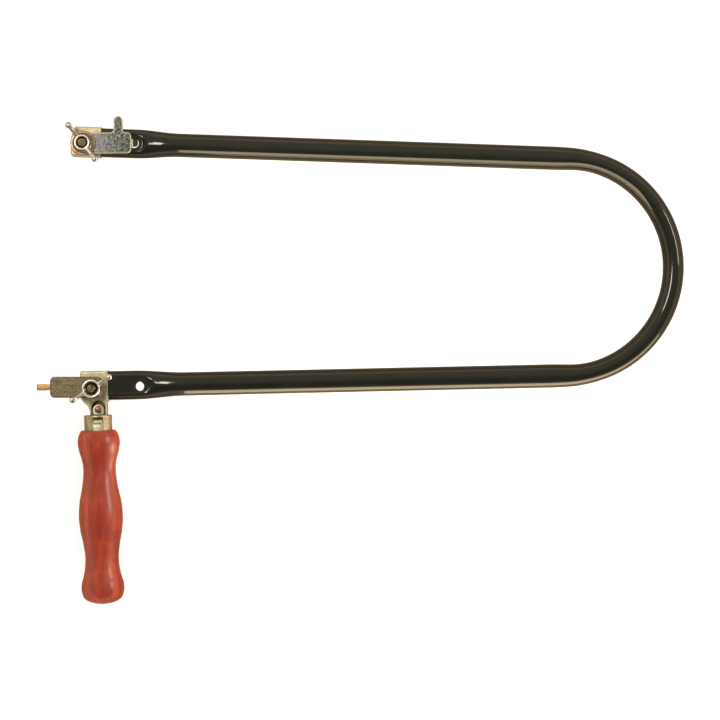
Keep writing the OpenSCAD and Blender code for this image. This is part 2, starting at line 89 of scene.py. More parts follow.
def smoothThrough(x, knots):
    # cubic Hermite curve through (place, value) knots, its slopes the harmonic means of the neighbours'
    k = np.array(knots, float)
    d = np.diff(k[:, 1]) / np.diff(k[:, 0])
    slope = np.zeros(len(k))
    i = np.nonzero(d[:-1] * d[1:] > 0)[0]
    slope[i + 1] = 2 * d[i] * d[i + 1] / (d[i] + d[i + 1])
    slope[0], slope[-1] = d[0], d[-1]
    i = np.clip(np.searchsorted(k[:, 0], x, side="right") - 1, 0, len(k) - 2)
    h = k[i + 1, 0] - k[i, 0]
    t = np.clip((x - k[i, 0]) / h, 0, 1)
    return ((2 * t**3 - 3 * t**2 + 1) * k[i, 1] + (t**3 - 2 * t**2 + t) * h * slope[i]
            + (3 * t**2 - 2 * t**3) * k[i + 1, 1] + (t**3 - t**2) * h * slope[i + 1])


def shaded(piece, sharp=35.0):  # smooth, but for edges that turn by more than the angle sharp
    piece.data.polygons.foreach_set("use_smooth", [True] * len(piece.data.polygons))
    piece.data.set_sharp_from_angle(angle=radians(sharp))
    return piece


def meshPiece(name, points, quads, caps=(), sharp=35.0, rim=None):
    # points in millimetres; all faces are turned round if the volume that they close is negative,
    # which is the sum of a . (b x c) over the triangles
    p = np.asarray(points, float)
    caps = [np.asarray(c) for c in caps]
    fans = [np.stack([np.full(len(c) - 2, c[0]), c[1:-1], c[2:]], axis=-1) for c in caps]
    tris = np.concatenate([quads[:, [0, 1, 2]], quads[:, [0, 2, 3]]] + fans)
    a, b, c = p[tris[:, 0]], p[tris[:, 1]], p[tris[:, 2]]
    if np.einsum("ij,ij->", a, np.cross(b, c)) < 0:
        quads, caps = quads[:, ::-1], [c[::-1] for c in caps]
    mesh = bpy.data.meshes.new(name)
    mesh.from_pydata((p * mm).tolist(), [], quads.tolist() + [c.tolist() for c in caps])
    if rim is not None:
        values = np.asarray(rim, np.float32).ravel()
        mesh.attributes.new("rim", "FLOAT", "POINT").data.foreach_set("value", values)
    piece = bpy.data.objects.new(name, mesh)
    bpy.context.scene.collection.objects.link(piece)
    return shaded(piece, sharp)


def gridQuads(rows, cols, closeRows=False, base=0):
    # quads between neighbouring rows of a grid of points whose columns go all the way round
    a, b = np.meshgrid(np.arange(rows if closeRows else rows - 1), np.arange(cols), indexing="ij")
    a2, b2 = (a + 1) % rows, (b + 1) % cols
    quads = np.stack([a * cols + b, a * cols + b2, a2 * cols + b2, a2 * cols + b], axis=-1)
    return quads.reshape(-1, 4) + base


def skinned(name, grid, place, sharp=35.0, closeRows=False, rim=None):
    # a surface through rings of points; open ends are closed with one face each
    rows, cols = grid.shape[:2]
    caps = [] if closeRows else [np.arange(cols)[::-1], np.arange((rows - 1) * cols, rows * cols)]
    points = atPlace(grid, place).reshape(-1, 3)
    return meshPiece(name, points, gridQuads(rows, cols, closeRows), caps, sharp, rim)


def merged(piece, other, how="DIFFERENCE", sharp=35.0):
    # one closed piece from two by a boolean
    step = piece.modifiers.new("merge", "BOOLEAN")
    step.operation, step.object, step.solver = how, other, "EXACT"
    bpy.context.view_layer.update()
    old, name = piece.data, piece.data.name
    piece.data = bpy.data.meshes.new_from_object(piece.evaluated_get(bpy.context.evaluated_depsgraph_get()))
    piece.modifiers.clear()
    bpy.data.meshes.remove(old)
    bpy.data.objects.remove(other)
    piece.data.name = name
    return shaded(piece, sharp)


def toned(piece, place, tone):
    # rim values again from each point's place in the piece's own axes, as tone(x, y, z, old)
    mesh = piece.data
    co, old = np.empty(len(mesh.vertices) * 3), np.zeros(len(mesh.vertices), np.float32)
    mesh.vertices.foreach_get("co", co)
    rim = mesh.attributes.get("rim") or mesh.attributes.new("rim", "FLOAT", "POINT")
    rim.data.foreach_get("value", old)
    own = turned(co.reshape(-1, 3) / mm - np.asarray(place["at"]), -place["turn"])
    rim.data.foreach_set("value", np.asarray(tone(own[:, 0], own[:, 1], own[:, 2], old), np.float32))
    return piece


def arc(mid, r, start, stop, n=10):  # points on an arc, angles in degrees
    a = np.radians(np.linspace(start, stop, n + 1))
    return np.stack([mid[0] + r * np.cos(a), mid[1] + r * np.sin(a)], axis=-1)


def evenly(outline, step):  # a closed outline with extra points, so that no side is longer than step
    p = np.asarray(outline, float)
    q = np.roll(p, -1, axis=0)
    n = np.maximum(1, np.ceil(np.hypot(*(q - p).T) / step)).astype(int)
    share = (np.arange(n.sum()) - np.repeat(np.cumsum(n) - n, n)) / np.repeat(n, n)
    return np.repeat(p, n, axis=0) + (np.repeat(q, n, axis=0) - np.repeat(p, n, axis=0)) * share[:, None]


def inward(outline):
    # directions into a counterclockwise outline, longer at corners so that an offset keeps its width
    before, after = outline - np.roll(outline, 1, axis=0), np.roll(outline, -1, axis=0) - outline
    before /= np.linalg.norm(before, axis=1)[:, None]
    after /= np.linalg.norm(after, axis=1)[:, None]
    n = np.stack([-(before + after)[:, 1], (before + after)[:, 0]], axis=-1)
    n /= np.linalg.norm(n, axis=1)[:, None]
    across = np.stack([-after[:, 1], after[:, 0]], axis=-1)
    return n / np.clip(np.einsum("ij,ij->i", n, across), 0.5, 1)[:, None]


def unfolded(rings, outline, far):
    # ring points that come nearer to the outline than they should lie folded over at a corner; they
    # are spread between their good neighbours. The foot of a point on a side is a + t (b - a)
    a, b = outline, np.roll(outline, -1, axis=0)
    for ring, least in zip(rings, far):
        t = np.clip(np.einsum("ijk,jk->ij", ring[:, None] - a, b - a) / np.sum((b - a)**2, axis=1), 0, 1)
        gap = np.linalg.norm(ring[:, None] - a - t[..., None] * (b - a), axis=2).min(axis=1)
        good = np.nonzero(gap > 0.97 * least - 1e-6)[0]
        for axis in (0, 1):
            ring[:, axis] = np.interp(np.arange(len(ring)), good, ring[good, axis], period=len(ring))
    return rings


def slab(name, outline, low, high, edge, place, steps=5, step=0.8, sharp=35.0):
    # an outline in X and Y given thickness; its edges are quarter circles of radius edge, which may
    # be a function of X and Y. A ring 1.3 radii in lies on each flat face; rim, the share of painted edge
    # light, is 1 on the rounded edges and 0 on the flat faces
    p = evenly(outline, step)
    into = inward(p)
    r = edge(p[:, 0], p[:, 1]) if callable(edge) else np.full(len(p), float(edge))
    a = np.linspace(0, pi / 2, steps + 1)
    inset = np.concatenate([[1.3], 1 - np.sin(a), 1 - np.sin(a[::-1]), [1.3]])
    rise = np.concatenate([[0.0], 1 - np.cos(a)])[:, None] * r
    z = np.concatenate([low + rise, high - rise[::-1]])
    far = inset[:, None] * r
    flat = unfolded(p[None] + into[None] * far[..., None], p, far)
    weight = np.concatenate([[0, 0.4], np.ones(2 * steps), [0.4, 0]])
    grid = np.concatenate([flat, z[..., None]], axis=-1)
    return skinned(name, grid, place, sharp, rim=np.repeat(weight, len(p)))


def revolved(name, profile, place, sides=96, closed=False, sharp=35.0, downHandle=False):
    # a profile of (radius, height) points carried round Z, or round the handle's axis, which runs
    # along -Y
    a = np.linspace(0, 2 * pi, sides, endpoint=False)
    r, h = np.asarray(profile, float).T
    x, y, z = r[:, None] * np.cos(a), r[:, None] * np.sin(a), np.repeat(h[:, None], sides, axis=1)
    grid = np.stack([x, -z, y] if downHandle else [x, y, z], axis=-1)
    return skinned(name, grid, place, sharp, closeRows=closed)


def drilled(piece, r, low, high, place, sides=48):  # with one more round hole
    return merged(piece, revolved("hole", [(r, low), (r, high)], place, sides))


def raised(points, z):  # points, or single values, with one more coordinate z
    return np.column_stack([points, np.full(len(points), z)])


def fitted(piece, body, slot, *nodes):  # places a finished piece in the model
    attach(piece, body)
    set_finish(piece, slot)
    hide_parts(*nodes)
    return piece


print("frame read")

tube = dict(around=120, dieEnd=21.4, dieHalf=4.1, dieSlope=0.5, dieSoft=0.12, flatHalf=7.37, flatFrom=15.0,
            flatLen=10.0, upperNarrow=(17.5, 22.5), lowerNarrow=(12.9, 26.9), squeezeFrom=10.0,
            squeezeLen=27.0, bendUp=6.4,
            ridge=[(0, 3.9), (16, 3.95), (20, 4.1), (24, 4.72), (28, 5.36), (32, 5.8), (36, 5.97), (41, 6),
                   (60, 6)])


def tubeRing(half, up, flatness, inset):
    # rings of a tube: half is the half height in the bow's plane and up the half thickness. The ring's
    # angles within 30 degrees of the top and bottom spread along the flats as flatness goes to 1, and
    # the others make the round sides
    f = (np.arange(tube["around"]) + 0.5) * 2 * pi / tube["around"]
    c, s = np.cos(f)[None], np.sin(f)[None]
    base, w = np.arctan2(np.abs(s), np.abs(c)), flatness[:, None]
    angle = base * (1 - w) + np.minimum(base * 1.5, pi / 2) * w
    side = np.minimum(half, up)[:, None]
    flats = (half[:, None] - side) * (np.clip(np.abs(c) * 2, 0, 1) * w + np.abs(c) * (1 - w))
    out = np.sign(c) * ((side - inset) * np.cos(angle) + flats)
    return out, np.sign(s) * (up[:, None] - inset) * np.sin(angle)


def squeezed(x):  # share of the bend's narrower section, x millimetres into the bend
    return ease((x + tube["squeezeFrom"]) / tube["squeezeLen"])


def armRings(x, length, inset, outIs, narrow):
    # one arm, whose flattened end grows into the round tube while a press die's footprint, a flat with a
    # round end, stays flat: die = face + slope * d, where d is the distance outside the footprint, and
    # z = -soft * log(exp(-own / soft) + exp(-die / soft)) is the lower one of the two
    squeeze, r = squeezed(x - length), bow["tubeR"]
    half = tube["flatHalf"] + (r - tube["flatHalf"]) * ease((x - narrow[0]) / narrow[1])
    half += (bow["squeeze"] / 2 - r) * squeeze
    up = smoothThrough(x, tube["ridge"]) + (tube["bendUp"] - r) * squeeze
    out, z = tubeRing(half, up, 1 - ease((x - tube["flatFrom"]) / tube["flatLen"]), inset)
    d = np.hypot(np.maximum(x[:, None] - tube["dieEnd"] + tube["dieHalf"], 0), out) - tube["dieHalf"]
    die = face - inset + tube["dieSlope"] * np.maximum(d, 0)
    own, soft = np.abs(z), tube["dieSoft"]
    low = -soft * np.log(np.exp(-np.minimum(own, die + 3) / soft) + np.exp(-np.minimum(die, own + 3) / soft))
    along = np.repeat(x[:, None], out.shape[1], axis=1)
    return np.stack([along, out * outIs, np.sign(z) * np.maximum(low, 0)], axis=-1)


def bowRings(inset, fine):
    # the whole bow as rings, from the upper arm's free end through the bend to the lower one's
    def places(length):
        return np.concatenate([
            np.arange(0, 26, 0.25 * fine), np.arange(26, 44, 0.5 * fine),
            np.arange(44, length - 13, 8), np.arange(length - 13, length - 0.4, fine)])
    up, down, r = bow["upperArm"], bow["lowerArm"], bow["tubeR"]
    upper = atPlace(armRings(places(up), up, inset, 1, tube["upperNarrow"]), upperArm)
    lower = atPlace(armRings(places(down), down, inset, -1, tube["lowerNarrow"]), lowerArm)[::-1]
    a = np.radians(np.linspace(90 - bow["splay"] / 2, bow["splay"] / 2 - 90, 86))
    share = squeezed((a[0] - np.abs(a)) * bow["bendR"])
    half, thick = r + (bow["squeeze"] / 2 - r) * share, r + (tube["bendUp"] - r) * share
    out, z = tubeRing(half, thick, share * 0, inset)
    a, far = a[:, None], bow["bendR"] + out
    bend = np.stack([bendMid[0] + far * np.cos(a), bendMid[1] + far * np.sin(a), z], axis=-1)
    return np.concatenate([upper, bend, lower])


def bowTube():
    # outer and inner surface, joined by a ring of faces at each free end, then drilled
    outer, inner = bowRings(0.0, 1), bowRings(bow["wall"], 8)
    rows, cols = outer.shape[:2]
    start = rows * cols
    j = np.arange(cols)
    j2 = (j + 1) % cols
    last, innerLast = start - cols, start + (len(inner) - 1) * cols
    quads = np.concatenate([
        gridQuads(rows, cols), gridQuads(len(inner), cols, base=start)[:, ::-1],
        np.stack([j2, j, j + start, j2 + start], axis=-1),
        np.stack([j + last, j2 + last, j2 + innerLast, j + innerLast], axis=-1)])
    points = np.concatenate([outer.reshape(-1, 3), inner.reshape(-1, 3)])
    piece = meshPiece("bowTube", points, quads, sharp=75)
    r = bow["holeD"] / 2
    drill = [(r + 0.6, -face - 0.4), (r, -face + 0.2), (r, face - 0.2), (r + 0.6, face + 0.4)]
    for place in (placeFrom(upperArm, (bow["upperHoleIn"], 0, 0)), dict(at=(0, 0, 0), turn=0)):
        merged(piece, revolved("drill", drill, place, 48), sharp=75)
    return piece


bowPiece = fitted(bowTube(), "frame", "black_lacquer", "bow_tube")
print("bow made", len(bowPiece.data.polygons))

bracket = dict(half=7.67, upperBody=15.2, lowerBody=14.3, lean=1.8, lowerLean=0.5, leanRise=5.0, cornerR=1.6,
               edge=1.1, tubeEdge=0.3, edgeLen=3.2, boltHole=2.6, neck=5.1, neckTop=-1.2, spigotHalf=6.2,
               spigotUp=2.55, spigotLen=10.0)
stem = dict(x=-5.1, w=8.5, end=17.9, cornerR=1.6, pocketW=7.1, pocketTop=7.45, pocketZ=2.3, wellZ=-1.4,
            wellIn=0.3, rivetY=11.95, rivetHole=1.25)


def spigot(place):  # the stadium-shaped bar that is pushed into the tube
    r, flat = bracket["spigotUp"], bracket["spigotHalf"] - bracket["spigotUp"]
    ring = np.concatenate([arc((flat, 0), r, -90, 90, 8), arc((-flat, 0), r, 90, 270, 8)])
    x = np.array([-0.4, bracket["spigotLen"]])
    grid = np.stack(np.broadcast_arrays(x[:, None], ring[None, :, 0], ring[None, :, 1]), axis=-1)
    return skinned("spigot", grid, place)


def boltHoles(piece, place):  # round hole for the shank and square one for the neck
    h = bracket["neck"] / 2
    drilled(piece, bracket["boltHole"], -6, 6, place)
    square = [(-h, -h), (h, -h), (h, h), (-h, h)]
    grid = np.stack([raised(square, z) for z in (-5, bracket["neckTop"])])
    return merged(piece, skinned("hole", grid, place))


def bracketEdge(x, y):  # rounded all round, nearly sharp where the bracket meets the tube's end
    return bracket["tubeEdge"] + (bracket["edge"] - bracket["tubeEdge"]) * ease(-x / bracket["edgeLen"])


def bracketTop(body, lean):  # the outline's points over the top, from the tube's end to the free end
    h = bracket["half"]
    return [(0, h), (lean - body + 0.5, h), (lean - body - 0.25, h - 0.35),
            (-body + 0.1, h - bracket["leanRise"] + 0.4), (-body, h - bracket["leanRise"] - 0.5)]


def upperBracket():
    # a slab of the casting's outline with the bolt's holes, and the spigot that enters the tube
    h, r, body = bracket["half"], bracket["cornerR"], bracket["upperBody"]
    corner = arc((r - body, r - h), r, 180, 270)
    outline = np.concatenate([[(0, -h)], bracketTop(body, bracket["lean"]), corner])
    piece = slab("upperBracket", outline, -face, face, bracketEdge, upperArm)
    boltHoles(piece, upperBolt)
    return merged(piece, spigot(upperArm), "UNION")


def lowerBracket():
    # the same with a stem for the handle; the pocket in it is an arch sunk through rings of
    # (inset, height), with a deeper well in its floor
    h, body, x, w, end = bracket["half"], bracket["lowerBody"], stem["x"], stem["w"] / 2, stem["cornerR"]
    free = np.array([(-body, -5.9), (-body + 0.25, -6.5), (-12.1, -8.75), (-10.75, -9.95), (-9.95, -11.2),
                     (-9.5, -12.8)])
    outline = np.concatenate([
        [(0, -h)], bracketTop(body, bracket["lowerLean"]), free,
        arc((x - w + end, end - stem["end"]), end, 180, 270),
        arc((x + w - end, end - stem["end"]), end, 270, 360), [(x + w, -h - 0.85)]])
    piece = slab("lowerBracket", outline, -face, face, bracketEdge, lowerArm)
    boltHoles(piece, lowerBolt)
    drilled(piece, stem["rivetHole"], -5, 5, placeFrom(lowerArm, (x, -stem["rivetY"], 0)), 32)
    merged(piece, spigot(lowerArm), "UNION")
    r, foot = stem["pocketW"] / 2, stem["end"] + 3
    crown = -stem["pocketTop"] - r
    arch = evenly(np.concatenate([[(x - r, -foot), (x + r, -foot)], arc((x, crown), r, 0, 180, 24)]), 0.6)
    into = inward(arch)
    rings = [(0.5, stem["pocketZ"]), (0.18, stem["pocketZ"] + 0.05), (0.0, stem["pocketZ"] + 0.4),
             (0.0, face - 0.3), (-0.08, face - 0.13), (-0.34, face + 0.03), (-0.9, face + 0.6)]
    grid = np.stack([raised(arch + into * d, z) for d, z in rings])
    merged(piece, skinned("pocket", grid, lowerArm))
    q = r - stem["wellIn"]
    well = np.concatenate([[(x - q, crown - 0.8), (x + q, crown - 0.8)], arc((x, crown), q, 0, 180, 24)])
    grid = np.stack([raised(evenly(well, 0.6), z) for z in (stem["wellZ"], face + 1)])
    merged(piece, skinned("well", grid, lowerArm))

    def pocketPaintedShade(px, py, z, old):  # painted shade from 0.2 under the front face down to the pocket's floor
        across = (np.abs(px - x) < r + 0.02) & (py < -stem["pocketTop"] + 0.02) & (py > -stem["end"])
        inside = across & (z > -3) & (z < face - 0.2)
        return np.where(inside, -0.7 * ease(face - 0.2 - z), old)
    return toned(piece, lowerArm, pocketPaintedShade)


fitted(upperBracket(), "frame", "yellow_zinc", "upper_bracket")
fitted(lowerBracket(), "frame", "yellow_zinc", "lower_bracket")
print("brackets made")

bolt = dict(sides=64, r=2.5, pitch=0.8, depth=0.42, grooveHalf=0.42, top=12.95, bevel=0.6, headR=5.5,
            headH=2.5, headEdge=0.5, neck=5.0, neckCorner=1.32, neckTop=-1.3, threadFrom=-0.8,
            tip=[(1.95, -0.1), (1.7, -0.02), (1.3, -0.04), (1.15, -0.16), (0.95, -0.05), (0.5, 0),
                 (0.28, -0.1), (0.0001, -0.22)])


def roundRings(profile, a):
    # rings of (radius, height) points at the angles a, where a radius may also be one value an angle
    level = np.ones(len(a))
    return np.stack([np.stack([r * np.cos(a), r * np.sin(a), h * level], axis=-1) for r, h in profile])


def carriageBolt(name, place):
    # thread: r = outer - depth * groove(turns), where turns = z / pitch - angle / 2 pi and the groove is
    # a rounded V; the end is a bevel with turning rings, the head a flat dome over a square neck
    a = np.linspace(0, 2 * pi, bolt["sides"], endpoint=False)
    z = np.arange(bolt["threadFrom"], bolt["top"] - 0.25, 0.1)
    phase = (z[:, None] / bolt["pitch"] - a[None] / (2 * pi)) % 1
    groove = np.clip(1 - np.abs(phase - 0.5) / bolt["grooveHalf"], 0, 1)**1.2
    fade = np.clip(z - bolt["threadFrom"], 0, 1)[:, None]
    bevel = np.clip((z - bolt["top"] + bolt["bevel"]) / bolt["bevel"], 0, 1)[:, None]
    r = np.minimum(bolt["r"] - bolt["depth"] * groove * fade, bolt["r"] - bolt["bevel"] * bevel)
    shank = np.stack(np.broadcast_arrays(r * np.cos(a), r * np.sin(a), z[:, None]), axis=-1)
    dome = np.sin(np.linspace(0.0002, pi / 2, 14))
    rise = np.sqrt(np.clip(1 - dome**2, 0, 1)) * (bolt["headH"] - bolt["headEdge"]) + bolt["headEdge"]
    under = [(bolt["headR"], -face - 0.1), (bolt["headR"] - 0.15, -face)]
    head = np.concatenate([np.column_stack([dome * bolt["headR"], -face - rise]), under])
    square = np.minimum(1 / np.maximum(np.abs(np.cos(a)), np.abs(np.sin(a))), bolt["neckCorner"])
    square = square * bolt["neck"] / 2
    neck = roundRings([(square, -face), (square, bolt["neckTop"])], a)
    tip = roundRings(np.array(bolt["tip"]) + (0, bolt["top"]), a)
    return skinned(name, np.concatenate([roundRings(head, a), neck, shank, tip]), place, 40)


for side, place in boltPlaces.items():
    fitted(carriageBolt(side + "Bolt", place), "frame", "bolt_steel", side + "_bolt")

washers = dict(inner=2.65, upper=6.3, lower=5.3, low=8.0, high=9.0, edge=0.25)


def washer(name, place, outer):  # with rounded edges
    inner, low, high, r = (washers[key] for key in ("inner", "low", "high", "edge"))
    profile = np.concatenate([
        arc((outer - r, low + r), r, -90, 0, 4), arc((outer - r, high - r), r, 0, 90, 4),
        arc((inner + r, high - r), r, 90, 180, 4), arc((inner + r, low + r), r, 180, 270, 4)])
    return revolved(name, profile, place, 96, closed=True)


for side, place in boltPlaces.items():
    piece = washer(side + "Washer", place, washers[side])
    fitted(piece, side + "_clamp", "washer_steel", side + "_washer")
print("bolts and washers made")

jaw = dict(low=5.9, t=2.0, w=10.7, r=2.3, edge=0.5, hole=3.25, upperTurn=2.694, upperBack=5.6,
           upperReach=24.4, tabX=17.9, tabW=4.7, tabTop=13.55, tabOuterR=0.7, tabInnerR=1.5, tongueDrop=1.4,
           footTo=27.7, footR=2.25, holeAt=25.53, lowerTurn=178.7, lowerBack=4.6, lowerReach=21.4,
           lowerShift=0.6, lowerTip=28.2, lowerThick=1.3, dimpleAt=23.5, dimpleR=1.4, dimpleH=1.3,
           tongueRim=0.15)
upperJawPlace = placeFrom(upperBolt, (0, 0, jaw["low"]), radians(jaw["upperTurn"]))
lowerJawPlace = placeFrom(lowerBolt, (0, 0, jaw["low"]), radians(jaw["lowerTurn"]))
lowerJawPlace = placeFrom(lowerJawPlace, (0, -jaw["lowerShift"], 0))


def sweptBar(name, path, place, corner=0.35, sharp=40.0, n=6, rim=0.5):
    # a flat bar along a path of (x, z, thickness, half width) points in its own X and Z; its section is
    # a rounded rectangle, and rim is its share of the painted edge light, all along or one value a point,
    # painted shade where below 0
    p = np.array(path, float)
    d = np.gradient(p[:, :2], axis=0)
    d /= np.linalg.norm(d, axis=1)[:, None]
    a = np.radians(np.linspace(0, 90, n))
    quarter = np.stack([np.sin(a), np.cos(a)], axis=-1)
    c = np.minimum(corner, np.minimum(p[:, 2] / 2, p[:, 3]))[:, None] * 0.98
    rings = []
    for sy, sz in ((1, 1), (1, -1), (-1, -1), (-1, 1)):
        q = quarter[::-1] if sy * sz < 0 else quarter
        y = sy * (p[:, 3:4] - c + c * q[None, :, 0])
        t = sz * (p[:, 2:3] / 2 - c + c * q[None, :, 1])
        rings.append(np.stack([p[:, 0:1] - d[:, 1:2] * t, y, p[:, 1:2] + d[:, 0:1] * t], axis=-1))
    grid = np.concatenate(rings, axis=1)
    rim = np.broadcast_to(np.reshape(rim, (-1, 1)), grid.shape[:2])
    return skinned(name, grid, place, sharp, rim=rim)


def upperJaw():
    # a rounded plate with a thumb tab; the tongue is a bar that falls by half a cosine wave to its foot
    w, r, back, reach = jaw["w"] / 2, jaw["r"], jaw["upperBack"], jaw["upperReach"]
    x, h, top, f, g = jaw["tabX"], jaw["tabW"] / 2, jaw["tabTop"], jaw["tabOuterR"], jaw["tabInnerR"]
    outline = np.concatenate([
        arc((r - back, r - w), r, 180, 270), arc((reach - r, r - w), r, 270, 360),
        arc((reach - r, w - r), r, 0, 90), arc((x + h + f, w + f), f, 270, 180, 4),
        arc((x, top - h), h, 0, 180, 16), arc((x - h - g, w + g), g, 0, -90, 8),
        arc((r - back, w - r), r, 90, 170)])
    piece = slab("upperJaw", outline, 0, jaw["t"], jaw["edge"], upperJawPlace)
    mid, foot, drop, sink = jaw["t"] / 2, jaw["footTo"], jaw["tongueDrop"], 0.05
    s = np.linspace(0, 1, 12)
    run = np.stack([reach - 0.35 + 1.3 * s, mid - sink - (drop - sink) * ease(s * 1.1 - 0.05)], axis=-1)
    flat = raised(np.linspace(foot - 1.8, foot, 12), mid - drop)
    path = np.concatenate([[(reach - 2.5, mid - sink)], run, flat])
    # the foot keeps inside a circle that fits the tube's hole: half <= sqrt(footR^2 - (x - holeAt)^2)
    x = path[:, 0]
    inHole = np.sqrt(np.clip(jaw["footR"]**2 - (x - jaw["holeAt"])**2, 0.3, None))
    half = smoothThrough(x, [(reach - 3, 2.3), (reach - 0.5, 2.3), (reach + 0.1, 1.9), (foot, 1.9)])
    half = np.minimum(half, inHole)
    thick = smoothThrough(x, [(reach - 3, 1.7), (reach, 1.8), (foot - 0.4, 1.8), (foot, 1.3)])
    merged(piece, sweptBar("tongue", np.column_stack([path, thick, half]), upperJawPlace), "UNION")
    drilled(piece, jaw["hole"], 4, 10, upperBolt)

    def tone(x, y, z, old):  # painted highlight on the bend of the tongue, painted shade on the foot in the hole
        tones = [(reach + 0.1, 0.6), (reach + 0.3, 1), (reach + 0.8, 1), (reach + 1.1, -0.7), (foot, -0.7)]
        return np.where(x > reach + 0.1, smoothThrough(x, tones), old)
    return toned(piece, upperJawPlace, tone)


def lowerJaw():
    # a rounded plate with a straight tongue; under that a dimple, (r sin q, -h cos q) carried round
    w, r, back, reach = jaw["w"] / 2, jaw["r"], jaw["lowerBack"], jaw["lowerReach"]
    outline = np.concatenate([
        arc((r - back, r - w), r, 180, 270), arc((reach - r, r - w), r, 270, 360),
        arc((reach - r, w - r), r, 0, 90), arc((r - back, w - r), r, 90, 180)])
    piece = slab("lowerJaw", outline, 0, jaw["t"], jaw["edge"], lowerJawPlace)
    tip, thick = jaw["lowerTip"], jaw["lowerThick"]
    x = np.concatenate([np.linspace(reach - 2, tip - 0.6, 24), [tip - 0.25, tip]])
    halves = [(reach - 2, 1.45), (reach + 1.2, 1.45), (reach + 2.6, 1.7), (tip - 0.6, 1.72), (tip, 1.35)]
    t = smoothThrough(x, [(reach - 2, thick), (tip - 0.6, thick), (tip, thick - 0.5)])
    path = np.column_stack([raised(x, thick / 2), t, smoothThrough(x, halves)])
    merged(piece, sweptBar("tongue", path, lowerJawPlace), "UNION")
    r, h, q = jaw["dimpleR"], jaw["dimpleH"], np.linspace(0, pi / 2, 7)
    dimple = np.concatenate([np.column_stack([r * np.sin(q) + 0.0001, -h * np.cos(q)]), [(r, 0.4)]])
    merged(piece, revolved("dimple", dimple, placeFrom(lowerJawPlace, (jaw["dimpleAt"], 0, 0)), 40), "UNION")
    drilled(piece, jaw["hole"], -2, 4, lowerJawPlace)

    def tone(x, y, z, old):  # the tongue has hardly any of the painted edge light
        return np.where(x > reach + 0.1, jaw["tongueRim"], old)
    return toned(piece, lowerJawPlace, tone)


fitted(upperJaw(), "upper_clamp_jaw", "dark_jaw", "upper_jaw")
fitted(lowerJaw(), "lower_clamp_jaw", "olive_jaw", "lower_jaw")
print("jaws made")

nut = dict(low=9.1, h=4.6, footR=5.15, footH=0.75, cup=1.5, bore=2.62, tipAt=10.9, tipR=1.6,
           upper=dict(turn=-50, rimR=3.95, cupR=2.9), lower=dict(turn=31, rimR=4.7, cupR=3.55))


def hub(name, place, rimR, cupR):
    # foot, cone, waist and rounded rim outside; cup and bore inside
    h, f, floor = nut["h"], nut["footH"], nut["h"] - nut["cup"]
    half = (rimR - cupR) / 2
    rim = arc((cupR + half, h - half), half, 0, 180, 8)
    profile = np.concatenate([
        [(nut["footR"] - 0.25, 0), (nut["footR"], 0.25), (nut["footR"], f - 0.25), (nut["footR"] - 0.3, f),
         (rimR + 0.15, f + 0.55), (rimR - 0.05, f + 1.2), (rimR - 0.02, h - 1.2)], rim,
        [(cupR, floor + 0.3), (cupR - 0.25, floor + 0.05), (nut["bore"] + 0.2, floor - 0.05),
         (nut["bore"], floor - 0.3), (nut["bore"], 0.3), (nut["bore"] + 0.3, 0)]])
    return revolved(name, profile, place, 96, closed=True)


def wing(place, rimR):
    # rings across the wing: half width, foot and crown follow the distance from the axis; the section
    # is a superellipse |y|^p + |z|^p = 1 whose power eases to a round bulb
    root, at, r = rimR - 0.7, nut["tipAt"], nut["tipR"]
    s = np.concatenate([np.linspace(root, 9.4, 24), at + r * np.sin(np.radians(np.linspace(-62, 89, 16)))])
    neck = smoothThrough(s, [(root, 1.6), (root + 1.3, 1.25), (7.2, 1.0), (8.9, 1.05), (9.6, 1.15)])
    bulb = np.sqrt(np.clip(1 - ((s - at) / r)**2, 0, 1)) * r
    half = np.maximum(neck * np.clip((at + 0.4 - s) * 2, 0, 1), bulb)
    low = smoothThrough(s, [(root, 0.9), (root + 2.2, 1.1), (9.0, 2.6), (at, 3.3), (12.6, 3.6)])
    crown = [(root, 4.25), (root + 1.5, 4.5), (8.0, 5.1), (10.0, 6.05), (at, 6.2), (12.6, 6.15)]
    high = smoothThrough(s, crown)
    closing = np.sqrt(np.clip(1 - (np.clip(s - at, 0, None) / r)**2, 0.0004, 1))
    mid, tall = (low + high) / 2, (high - low) / 2 * closing**0.7
    f = np.linspace(0, 2 * pi, 36, endpoint=False)
    power = 2 / smoothThrough(s, [(root, 3.2), (8.5, 2.8), (at, 2.4), (12.6, 2.2)])[:, None]
    c, t = np.cos(f)[None], np.sin(f)[None]
    y = half[:, None] * np.sign(c) * np.abs(c)**power
    z = mid[:, None] + tall[:, None] * np.sign(t) * np.abs(t)**power
    return skinned("wing", np.stack(np.broadcast_arrays(s[:, None], y, z), axis=-1), place, 50)


def wingNut(name, boltPlace, turn, rimR, cupR):  # the hub with two wings, half a turn apart
    place = placeFrom(boltPlace, (0, 0, nut["low"]), radians(turn))
    piece = hub(name, place, rimR, cupR)
    for side in (0, pi):
        merged(piece, wing(placeFrom(place, (0, 0, 0), side), rimR), "UNION", 40)

    def tone(x, y, z, old):  # painted shade round the foot and in the cup, painted highlight on the rim's crown
        d = np.hypot(x, y)
        foot = -0.85 * ease(1.9 - z) * (d < nut["footR"] + 0.1)
        cup = -0.8 * ease((nut["h"] - 0.2 - z) / 0.8) * (d < cupR + 0.05)
        crown = (z > nut["h"] - 0.5) & (d > cupR) & (d < rimR)
        return np.where(crown, 1, np.minimum(foot, cup))
    return toned(piece, place, tone)


for side, place in boltPlaces.items():
    piece = wingNut(side + "WingNut", place, **nut[side])
    fitted(piece, side + "_clamp_nut", "nut_plate", side + "_wing_nut")
print("wing nuts made")

